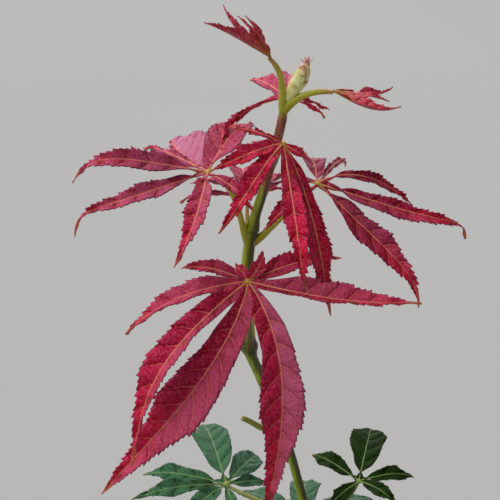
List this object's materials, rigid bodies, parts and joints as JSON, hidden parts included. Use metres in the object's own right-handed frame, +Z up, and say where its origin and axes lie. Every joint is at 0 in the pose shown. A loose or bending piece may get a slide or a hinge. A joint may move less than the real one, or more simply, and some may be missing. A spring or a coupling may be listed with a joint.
{
  "type": "potted japanese maple",
  "caption": "Young Japanese maple with long pointed crimson and green leaves on a slender upright stem, standing in a plain terracotta pot filled with potting mix.",
  "frame": {"origin": "centre of the pot's flat underside", "axes": "+Z up along the pot's axis; -Y towards the side from which the leader's leaves are best seen; +X to the right seen from there"},
  "size_m": [0.2099, 0.2016, 0.4011],
  "materials": {
    "pot": "matte",
    "potting_mix": "matte",
    "stem": "satin",
    "end_bud": "satin",
    "bough": "matte",
    "red_leaf": "satin",
    "young_leaf": "satin",
    "green_leaf": "satin",
    "foliage": "satin"
  },
  "bodies": {
    "root": {"pot": "pot", "potting_mix": "potting_mix", "stem": "stem", "end_bud": "end_bud", "stalk_stump": "stem", "leaf_low_front": "red_leaf", "leaf_high_front": "red_leaf", "leaf_mid_left": "red_leaf", "leaf_mid_right": "red_leaf", "leaf_high_back": "red_leaf", "leaf_young_left": "young_leaf", "leaf_young_right": "young_leaf", "leaf_green_left": "green_leaf", "leaf_green_right": "green_leaf", "leaf_low_back": "red_leaf", "leaf_green_back": "green_leaf", "leaf_green_front": "green_leaf", "bough_left": "bough", "mass_left": "foliage", "bough_right": "bough", "mass_right": "foliage", "bough_front": "bough", "mass_front": "foliage", "bough_back": "bough", "mass_back": "foliage"}
  },
  "joints": []
}
